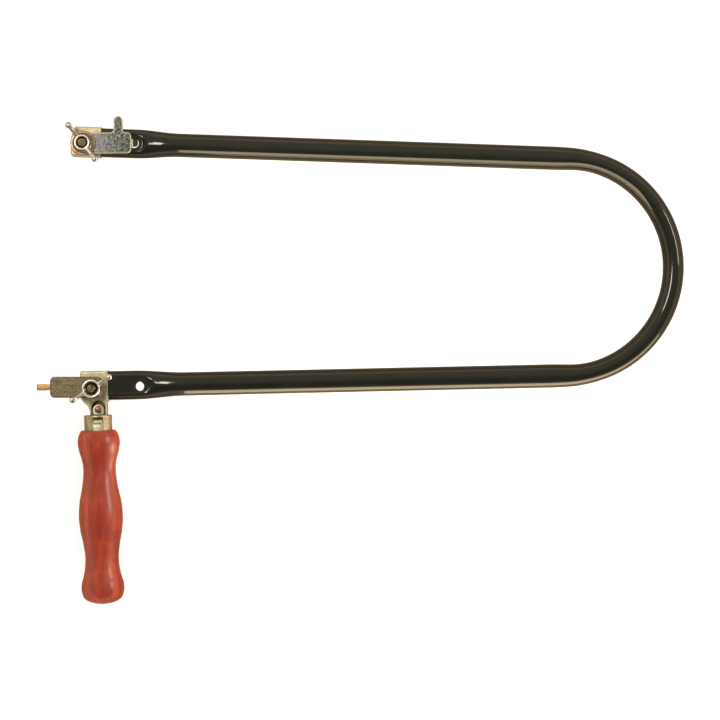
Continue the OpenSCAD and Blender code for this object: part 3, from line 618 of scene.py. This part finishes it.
# the wood's diameters are (depth, diameter) places that its turned profile goes through
wood = dict(shift=0.72, lean=0.42, top=22.7, seat=0.02, tenonTop=18.0, tenonR=6.35, mouthR=8.4, length=88.5,
            endFrom=83.6, endR=9.9, spikeR=2.8, spikeFrom=17, spikeTo=63,
            diameters=[(0, 17.6), (2, 19.9), (4, 21.1), (6.2, 21.4), (10.2, 20.3), (14.3, 18.0), (18, 16.7),
                       (20.6, 16.5), (25, 17.1), (30.6, 18.9), (36.7, 21.3), (43.8, 22.4), (51, 21.2),
                       (58, 18.5), (64.8, 17.0), (69.4, 17.5), (74.5, 19.5), (77.8, 21.4), (80.6, 21.9),
                       (83, 21.1), (84.8, 19.2)])
handlePlace = placeFrom(lowerArm, (stem["x"] - wood["shift"], 0, 0), radians(wood["lean"]))
stemPlace = placeFrom(lowerArm, (stem["x"], 0, 0))


def woodTurning():
    # the profile goes through the diameters; the end is nearly a quarter ellipse
    depth = np.arange(0, wood["endFrom"], 0.6)
    u = np.linspace(0.1, 1, 12)
    tall = wood["length"] - wood["endFrom"]
    endR = wood["endR"] * np.sqrt(1 - np.sin(u * pi / 2)**2) + 0.4 * (1 - u) + 0.001
    side = np.column_stack([smoothThrough(depth, wood["diameters"]) / 2, wood["top"] + depth])
    end = np.column_stack([endR, wood["top"] + wood["endFrom"] + tall * np.sin(u * pi / 2)])
    r, top, seat = wood["tenonR"], wood["tenonTop"], wood["top"] - wood["seat"]
    tenon = [(0.001, top), (r - 0.3, top), (r, top + 0.3), (r, seat), (wood["mouthR"], seat)]
    profile = np.concatenate([tenon, side, end])
    piece = revolved("woodHandle", profile, handlePlace, 128, downHandle=True, sharp=50)
    hole = [(wood["spikeR"], wood["spikeFrom"]), (wood["spikeR"], wood["spikeTo"])]
    return merged(piece, revolved("hole", hole, handlePlace, 32, downHandle=True), sharp=50)


fitted(woodTurning(), "frame", "red_wood", "handle")

sleeve = dict(top=14.9, len=7.8, r=7.1, wall=0.7, slotTop=15.95, slotFoot=18.35, slotHalf=2.5)


def ferrule():
    # straight sleeve with a softly rolled upper rim and a slot for the strap
    top, foot, r, t = sleeve["top"], sleeve["top"] + sleeve["len"], sleeve["r"], sleeve["wall"]
    rim = arc((r - t / 2, top + t / 2), t / 2, 180, 360, 8)
    outside = [(r, top + 0.9), (r - 0.05, top + 2.0), (r - 0.05, foot - 1.2), (r, foot - 0.5),
               (r, foot - 0.15), (r - 0.15, foot), (r - t, foot), (r - t, foot - 1)]
    profile = np.concatenate([rim, outside])
    piece = revolved("ferruleSleeve", profile, handlePlace, 128, closed=True, downHandle=True)
    w, y0, y1 = sleeve["slotHalf"], -sleeve["slotTop"], -sleeve["slotFoot"]
    grid = np.array([[(w, y0, z), (w, y1, z), (-w, y1, z), (-w, y0, z)] for z in (3.0, 9.0)])
    return merged(piece, skinned("slot", grid, stemPlace))


fitted(ferrule(), "frame", "yellow_zinc", "ferrule")

strap = dict(headHalf=2.9, crown=9.55, half=2.25, t=1.0, z=2.85, out=7.72, turnAt=17.35, innerBend=1.0,
             outerBend=1.1, dentAt=19.5, dentLen=0.7, dentDepth=0.22, foot=22.65)


def handleStrap():
    # along its own length: a round head in the pocket, out through the ferrule's slot, down its front;
    # the tail has a dent of depth * exp(-((y - dentAt) / dentLen)^2)
    r, crown, at = strap["headHalf"], strap["crown"], strap["turnAt"]
    into, over = strap["innerBend"], strap["outerBend"]
    a = np.radians(np.linspace(4, 90, 14))
    y = np.concatenate([crown + r - r * np.cos(a), np.linspace(crown + r + 0.2, at - into, 8)])
    shoulders = [(crown + r, r), (crown + r + 1.6, r - 0.1), (crown + r + 2.9, strap["half"])]
    halves = np.concatenate([r * np.sin(a), smoothThrough(y[len(a):], shoulders)])
    inner = arc((at - into, strap["z"] + into), into, -90, 0, 6)[1:]
    outer = arc((at + over, strap["out"] - over), over, 180, 90, 6)
    tail = raised(np.linspace(at + 1.5, strap["foot"], 16), strap["out"])
    tail[:, 1] -= np.exp(-((tail[:, 0] - strap["dentAt"]) / strap["dentLen"])**2) * strap["dentDepth"]
    path = np.concatenate([raised(y, strap["z"]), inner, outer, tail])
    half = np.concatenate([halves, np.full(len(path) - len(halves), strap["half"])])
    # rim -0.9 is painted shade on the strap behind the ferrule's slot, 0.5 is half the painted edge light
    # elsewhere
    slotShadeAndEdgeLight = np.where((path[:, 0] > 14.7) & (path[:, 1] < 5.5), -0.9, 0.5)
    points = np.column_stack([raised(path, strap["t"]), half])
    return sweptBar("handleStrap", points, placeFrom(stemPlace, (0, 0, 0), -pi / 2), corner=0.3, rim=slotShadeAndEdgeLight)


fitted(handleStrap(), "frame", "yellow_zinc", "handle_strap")

rivet = dict(shank=1.2, domeR=1.9, domeH=0.6, front=3.4)


def strapRivet():  # flat domes in front of the strap and behind the stem
    a = np.linspace(0, pi / 2 - 0.001, 8)
    front = [(rivet["domeR"] * np.cos(q), rivet["front"] + rivet["domeH"] * np.sin(q)) for q in a[::-1]]
    back = [(rivet["domeR"] * np.cos(q), -face - rivet["domeH"] * np.sin(q)) for q in a]
    profile = front + [(rivet["shank"], rivet["front"]), (rivet["shank"], -face)] + back
    return revolved("strapRivet", profile, placeFrom(stemPlace, (0, -stem["rivetY"], 0)), 48)


fitted(strapRivet(), "frame", "rivet_steel", "strap_rivet")
print("handle made")

scene = bpy.context.scene
# the camera looks straight down; field is the width that it sees at the bow's middle
camera = dict(mid=(112.143, 14.116), roll=0.362, height=1200.0, field=367.2, sensor=36.0, near=0.05, far=20)
eye = bpy.data.objects.new("eye", bpy.data.cameras.new("eye"))
scene.collection.objects.link(eye)
eye.location = (camera["mid"][0] * mm, camera["mid"][1] * mm, camera["height"] * mm)
eye.rotation_euler = (0, 0, radians(camera["roll"]))
eye.data.sensor_width = camera["sensor"]
eye.data.lens = camera["sensor"] * camera["height"] / camera["field"]
eye.data.clip_start, eye.data.clip_end = camera["near"], camera["far"]
scene.camera = eye
scene.view_settings.view_transform = "Standard"


def node(tree, kind, inputs=None, **settings):
    # a new shader node; each input is given a number, a colour or another node's output
    made = tree.nodes.new("ShaderNode" + kind)
    for key, value in settings.items():
        setattr(made, key, value)
    for key, value in (inputs or {}).items():
        if isinstance(value, bpy.types.NodeSocket):
            tree.links.new(value, made.inputs[key])
        else:
            made.inputs[key].default_value = value
    return made


def maths(tree, how, a, b=0.0, c=0.0):
    return node(tree, "Math", {0: a, 1: b, 2: c}, operation=how).outputs[0]


def mixed(tree, share, a, b, how="MIX"):  # colour a where share is 0, b where it is 1
    return node(tree, "Mix", {0: share, 6: a, 7: b}, data_type="RGBA", blend_type=how).outputs[2]


def eased(tree, value, start, stop):  # 0 below start and 1 above stop, smooth between
    return node(tree, "MapRange", {0: value, 1: start, 2: stop}, interpolation_type="SMOOTHSTEP").outputs[0]


def clamped(tree, value):  # kept between 0 and 1
    return node(tree, "Clamp", {0: value}).outputs[0]


def paint(r, g, b):  # linear colour of an sRGB one: ((c + 0.055) / 1.055) ^ 2.4
    return (*[((c + 0.055) / 1.055)**2.4 for c in (r, g, b)], 1.0)


# The studio: the world's ceiling is dim and its walls are bright and warm in reflections, and the
# background that the camera sees is white
studio = dict(fillWall=(1.45, 1.36, 1.22, 1), fillCeiling=(0.50, 0.50, 0.49, 1), fillFrom=0.25, fillTo=0.8,
              ceilingDark=(0.2, 0.22, 0.175, 1), ceilingLight=(0.74, 0.78, 0.64, 1), ceilingSpan=0.55,
              wall=(1.4, 1.17, 0.86, 1), wallFrom=0.3, wallTo=0.6,
              floorAt=-11.25, floorHalf=3000, floorWhite=0.8, floorLift=0.6, floorWarm=(0.60, 0.49, 0.35, 1))
lamps = dict(
    key=dict(at=(-400, 275, 1200), aim=(60, 60, 0), size=(300, 240), bright=20.0, color=(1, 0.97, 0.93)),
    side=dict(at=(2150, 640, 1400), aim=(100, 60, 0), size=(900, 160), bright=30.0, color=(1, 0.96, 0.9)),
    lowerStrip=dict(at=(206, -48, 4), aim=(206, 0, 0), size=(370, 30), bright=7.5, color=(1, 0.86, 0.66)),
    upperStrip=dict(at=(128, 82, 24), aim=(128, 125, 2), size=(226, 20), bright=6.0, color=(1, 0.9, 0.72)))


def lamp(name, at, aim, size, bright, color):
    # one-sided panel; its power is brightness * pi * area
    data = bpy.data.lights.new(name, "AREA")
    data.shape, data.size, data.size_y = "RECTANGLE", size[0] * mm, size[1] * mm
    data.energy, data.color = bright * pi * size[0] * size[1] * mm * mm, color
    thing = bpy.data.objects.new(name, data)
    scene.collection.objects.link(thing)
    thing.location = np.array(at) * mm
    away = Vector(np.array(at, float) - np.array(aim, float))
    thing.rotation_euler = away.to_track_quat("Z", "Y").to_euler()
    thing.visible_camera = False
    return thing


lampObjects = {lampName: lamp(lampName, **values) for lampName, values in lamps.items()}
# the key lamp lights all but the wood, which shows no highlight of it
keyLit = bpy.data.collections.new("keyLit")
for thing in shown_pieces():
    if thing.get("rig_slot") != "red_wood":
        keyLit.objects.link(thing)
lampObjects["key"].light_linking.receiver_collection = keyLit

world = bpy.data.worlds.new("studio")
scene.world = world
world.use_nodes = True
air = world.node_tree
background = air.nodes["Background"]
rays = node(air, "LightPath").outputs
way = node(air, "SeparateXYZ", {0: node(air, "TexCoord").outputs["Generated"]}).outputs
across = eased(air, way[1], -studio["ceilingSpan"], studio["ceilingSpan"])
ceiling = mixed(air, across, studio["ceilingDark"], studio["ceilingLight"])
mirrored = mixed(air, eased(air, way[2], studio["wallFrom"], studio["wallTo"]), studio["wall"], ceiling)
overhead = eased(air, way[2], studio["fillFrom"], studio["fillTo"])
fill = mixed(air, overhead, studio["fillWall"], studio["fillCeiling"])
lit = mixed(air, rays["Is Glossy Ray"], fill, mirrored)
seen = maths(air, "MAXIMUM", rays["Is Camera Ray"], rays["Is Transmission Ray"])
air.links.new(mixed(air, seen, lit, (1, 1, 1, 1)), background.inputs["Color"])


def newMaterial(name):
    mat = bpy.data.materials.new(name)
    mat.use_nodes = True
    mat.node_tree.nodes.clear()
    return mat, mat.node_tree


def finished(tree, surface):
    node(tree, "OutputMaterial", {"Surface": surface})


def floorSheet():
    # pale paper: plain diffuse, lifted to white where the camera sees it, cream in reflections
    h, z = studio["floorHalf"] * mm, studio["floorAt"] * mm
    mesh = bpy.data.meshes.new("floor")
    mesh.from_pydata([(-h, -h, z), (h, -h, z), (h, h, z), (-h, h, z)], [], [(0, 1, 2, 3)])
    sheet = bpy.data.objects.new("floor", mesh)
    scene.collection.objects.link(sheet)
    mat, tree = newMaterial("pale_paper")
    path = node(tree, "LightPath").outputs
    white = (studio["floorWhite"],) * 3 + (1,)
    color = mixed(tree, path["Is Glossy Ray"], white, studio["floorWarm"])
    plain = node(tree, "BsdfDiffuse", {"Color": color})
    direct = maths(tree, "MAXIMUM", path["Is Camera Ray"], path["Is Transmission Ray"])
    strength = maths(tree, "MULTIPLY", direct, studio["floorLift"])
    lift = node(tree, "Emission", {"Strength": strength})
    finished(tree, node(tree, "AddShader", {0: plain.outputs[0], 1: lift.outputs[0]}).outputs[0])
    mesh.materials.append(mat)
    sheet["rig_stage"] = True


floorSheet()
print("studio made")


# Effects shared by the finishes, each a group of nodes with named sockets
def newGroup(name, inputs):
    tree = bpy.data.node_groups.new(name, "ShaderNodeTree")
    kinds = {float: "NodeSocketFloat", tuple: "NodeSocketColor", str: "NodeSocketVector"}
    for label, value in inputs.items():
        socket = tree.interface.new_socket(name=label, in_out="INPUT", socket_type=kinds[type(value)])
        if not isinstance(value, str):
            socket.default_value = value
    for label, kind in (("Color", tuple), ("Share", float)):
        tree.interface.new_socket(name=label, in_out="OUTPUT", socket_type=kinds[kind])
    return tree, tree.nodes.new("NodeGroupInput").outputs, tree.nodes.new("NodeGroupOutput").inputs


def linkedOut(tree, take, share, a, b):  # links the group's outputs: the share, and its mix of two colours
    tree.links.new(share, take["Share"])
    tree.links.new(mixed(tree, share, a, b), take["Color"])
    return tree


grey = (0.5, 0.5, 0.5, 1.0)
# colour of the painted shade in creases, recesses and holes
paintedShadeColor = (0.02, 0.017, 0.012, 1)


def scaled(tree, vector, size):  # the place in units of size millimetres
    share = maths(tree, "DIVIDE", 1000.0, size)
    return node(tree, "VectorMath", {0: vector, 3: share}, operation="SCALE").outputs[0]


def noised(tree, give, settings):  # noise from 0 to 1 at the group's Place and Size
    vector = scaled(tree, give["Place"], give["Size"])
    return node(tree, "TexNoise", {"Vector": vector, "Scale": 1.0, **settings}).outputs[0]


def mottleGroup():
    # cloudy mix of two colours: share = 0.5 + contrast * (noise - 0.5)
    inputs = {"Place": "", "Size": 1.0, "Contrast": 2.0, "Dark": grey, "Light": grey}
    tree, give, take = newGroup("mottle", inputs)
    noise = noised(tree, give, {"Detail": 4.0, "Roughness": 0.62})
    share = maths(tree, "MULTIPLY_ADD", maths(tree, "SUBTRACT", noise, 0.5), give["Contrast"], 0.5)
    return linkedOut(tree, take, clamped(tree, share), give["Dark"], give["Light"])


def edgeGroup():
    # painted edge light: share = rim * amount * (0.5 + 0.9 * noise); painted shade where rim is below 0
    inputs = {"Place": "", "Color": grey, "Edge": grey, "Amount": 1.0, "Size": 0.8}
    tree, give, take = newGroup("paintedEdgeLight", inputs)
    rim = node(tree, "Attribute", attribute_name="rim").outputs["Fac"]
    noise = noised(tree, give, {"Detail": 3.0})
    share = maths(tree, "MULTIPLY", rim, maths(tree, "MULTIPLY_ADD", noise, 0.9, 0.5))
    share = clamped(tree, maths(tree, "MULTIPLY", share, give["Amount"]))
    colorInShade = mixed(tree, clamped(tree, maths(tree, "MULTIPLY", rim, -1.0)), give["Color"], paintedShadeColor)
    return linkedOut(tree, take, share, colorInShade, give["Edge"])


def speckGroup():
    # round specks, one in each cell of a Voronoi pattern whose random value is over 1 - amount
    inputs = {"Place": "", "Color": grey, "Speck": grey, "Size": 2.0, "Amount": 0.3, "Radius": 0.25}
    tree, give, take = newGroup("specks", inputs)
    vector = scaled(tree, give["Place"], give["Size"])
    cells = node(tree, "TexVoronoi", {"Vector": vector, "Scale": 1.0})
    chance = node(tree, "SeparateColor", {0: cells.outputs["Color"]}).outputs[0]
    chosen = maths(tree, "GREATER_THAN", maths(tree, "ADD", chance, give["Amount"]), 1.0)
    near = maths(tree, "SUBTRACT", 1.0, maths(tree, "DIVIDE", cells.outputs["Distance"], give["Radius"]))
    share = maths(tree, "MULTIPLY", clamped(tree, maths(tree, "MULTIPLY", near, 3.0)), chosen)
    return linkedOut(tree, take, share, give["Color"], give["Speck"])


groups = dict(mottle=mottleGroup(), edge=edgeGroup(), speck=speckGroup())


def grouped(tree, name, inputs):
    return node(tree, "Group", inputs, node_tree=groups[name]).outputs


def mottled(tree, at, size, contrast, dark=grey, light=grey):
    inputs = {"Place": at, "Size": size, "Contrast": contrast, "Dark": dark, "Light": light}
    return grouped(tree, "mottle", inputs)


def ownPlace(tree):
    return node(tree, "TexCoord").outputs["Object"]


def bumped(tree, height, strength, depth):  # depth in millimetres
    inputs = {"Height": height, "Strength": strength, "Distance": depth * mm}
    return node(tree, "Bump", inputs).outputs[0]


def principled(tree, **inputs):
    shader = node(tree, "BsdfPrincipled", {key.replace("_", " "): v for key, v in inputs.items()})
    finished(tree, shader.outputs[0])


def ranged(tree, share, low, high):  # low where share is 0, high where it is 1
    return maths(tree, "MULTIPLY_ADD", share, high - low, low)


def lacquer():
    # gloss black over a faint cloud, with a little dust and a shallow orange peel
    mat, tree = newMaterial("black_lacquer")
    at = ownPlace(tree)
    cloud = mottled(tree, at, 9.0, 2.0, (0.0038, 0.0044, 0.0032, 1), (0.008, 0.0085, 0.0065, 1))
    dusty = grouped(tree, "speck", {
        "Place": at, "Color": cloud["Color"], "Speck": (0.10, 0.10, 0.09, 1), "Size": 7.0, "Amount": 0.12,
        "Radius": 0.035})
    peel = mottled(tree, at, 3.5, 1.0)
    principled(tree, Base_Color=dusty["Color"], Roughness=ranged(tree, cloud["Share"], 0.07, 0.12), IOR=1.5,
               Specular_Tint=(1, 0.92, 0.78, 1), Normal=bumped(tree, peel["Share"], 0.25, 0.02))
    return mat


def plating(name, dark, light, edge, size, roughness, metallic=1.0, depth=0.03):
    # plated metal: cloudy colour, a fine grain in colour and bump, and painted edge light; painted shade
    # where rim is below 0
    mat, tree = newMaterial(name)
    at = ownPlace(tree)
    cloud = mottled(tree, at, size, 2.6, paint(*dark), paint(*light))
    fine = mottled(tree, at, 0.35, 2.5, (0.72, 0.70, 0.66, 1), (1.1, 1.1, 1.1, 1))
    color = mixed(tree, 1.0, cloud["Color"], fine["Color"], "MULTIPLY")
    edged = grouped(tree, "edge", {"Place": at, "Color": color, "Edge": paint(*edge), "Amount": 0.6})
    principled(tree, Base_Color=edged["Color"], Metallic=metallic,
               Roughness=ranged(tree, fine["Share"], roughness - 0.06, roughness + 0.08),
               Normal=bumped(tree, fine["Share"], 0.5, depth))
    return mat


def speckledJaw(name, dark, light, edge, far, fade, tongue, contrast=4.5):
    # tumbled sheet: irregular bright specks on a dark ground, painted light on the edges. From X = fade[1]
    # to fade[0] it turns 0.55 of the way to the colour far, and past the tongue's X it takes the tongue's
    # colour
    mat, tree = newMaterial(name)
    at = ownPlace(tree)
    cloud = mottled(tree, at, 0.75, contrast, paint(*dark), paint(*light))
    fine = mottled(tree, at, 0.3, 3.0, (0.6, 0.6, 0.6, 1), (1.3, 1.3, 1.3, 1))
    color = mixed(tree, 1.0, cloud["Color"], fine["Color"], "MULTIPLY")
    x = node(tree, "SeparateXYZ", {0: at}).outputs[0]
    paler = maths(tree, "MULTIPLY", eased(tree, x, fade[1] * mm, fade[0] * mm), 0.55)
    color = mixed(tree, paler, color, paint(*far))
    before, after = tongue["x"] - 0.3 * tongue["way"], tongue["x"] + 0.3 * tongue["way"]
    color = mixed(tree, eased(tree, x, before * mm, after * mm), color, paint(*tongue["color"]))
    edged = grouped(tree, "edge", {"Place": at, "Color": color, "Edge": paint(*edge), "Amount": 0.85})
    principled(tree, Base_Color=edged["Color"], Metallic=0.85,
               Roughness=ranged(tree, cloud["Share"], 0.42, 0.28),
               Normal=bumped(tree, cloud["Share"], 0.6, 0.05))
    return mat


def redWood():
    # stained hardwood under clear lacquer: long streaks along the handle, small pores and a few nicks
    mat, tree = newMaterial("red_wood")
    inputs = {"Vector": ownPlace(tree), "Location": Vector(-handlePlace["at"] * mm)}
    turn = node(tree, "Mapping", inputs, vector_type="POINT").outputs[0]
    along = node(tree, "VectorMath", {0: turn, 1: (1, 0.09, 1)}, operation="MULTIPLY").outputs[0]
    streak = mottled(tree, along, 3.2, 3.0, paint(0.63, 0.16, 0.05), paint(0.86, 0.30, 0.10))
    pores = mottled(tree, along, 0.5, 3.5, (0.72, 0.66, 0.62, 1), (1.08, 1.05, 1.0, 1))
    color = mixed(tree, 1.0, streak["Color"], pores["Color"], "MULTIPLY")
    blotch = mottled(tree, turn, 11.0, 4.0)
    color = mixed(tree, maths(tree, "MULTIPLY", blotch["Share"], 0.6), color, paint(0.57, 0.13, 0.06))
    nicked = grouped(tree, "speck", {
        "Place": along, "Color": color, "Speck": paint(0.85, 0.5, 0.32), "Size": 5.0, "Amount": 0.1,
        "Radius": 0.12})
    principled(tree, Base_Color=nicked["Color"], Roughness=ranged(tree, pores["Share"], 0.42, 0.32),
               Coat_Weight=0.4, Coat_Roughness=0.26, Normal=bumped(tree, pores["Share"], 0.25, 0.04))
    return mat


# each plating: dark, light and edge colour (a painted edge highlight), size of its clouds in millimetres,
# roughness
platings = dict(
    yellow_zinc=((0.58, 0.53, 0.41), (0.77, 0.72, 0.60), (0.86, 0.82, 0.71), 2.5, 0.38, 0.85),
    bolt_steel=((0.30, 0.25, 0.16), (0.56, 0.49, 0.35), (0.6, 0.53, 0.4), 1.2, 0.30),
    washer_steel=((0.40, 0.30, 0.22), (0.70, 0.58, 0.46), (0.84, 0.77, 0.68), 1.5, 0.34),
    nut_plate=((0.62, 0.58, 0.54), (0.90, 0.88, 0.86), (0.95, 0.93, 0.90), 1.6, 0.22, 1.0, 0.01),
    rivet_steel=((0.46, 0.33, 0.26), (0.68, 0.52, 0.43), (0.66, 0.52, 0.43), 0.9, 0.38),
    plain_steel=((0.42, 0.42, 0.43), (0.62, 0.62, 0.63), (0.7, 0.7, 0.7), 1.5, 0.35))
finishes = {name: plating(name, *looks) for name, looks in platings.items()}
finishes.update(
    black_lacquer=lacquer(), red_wood=redWood(),
    # upper jaw: painted highlight on its edges, and a dark tongue colour that is painted shade in the tube's
    # hole
    dark_jaw=speckledJaw(
        "dark_jaw", (0.08, 0.09, 0.08), (0.44, 0.45, 0.42), (0.84, 0.80, 0.73), (0.52, 0.49, 0.50),
        (-24, -8), dict(x=-4.7, way=1, color=(0.24, 0.23, 0.19))),
    # lower jaw: its darker edge colour is painted shade on the edges
    olive_jaw=speckledJaw(
        "olive_jaw", (0.33, 0.28, 0.20), (0.51, 0.45, 0.34), (0.36, 0.30, 0.21), (0.45, 0.39, 0.29),
        (-60, -50), dict(x=-44.9, way=-1, color=(0.70, 0.55, 0.33)), contrast=3.0))
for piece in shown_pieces():
    finish = finishes[piece.get("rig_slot") or "plain_steel"]
    if not piece.material_slots:
        piece.data.materials.append(finish)
    for spot in piece.material_slots:
        spot.material = finish
print("finishes made")
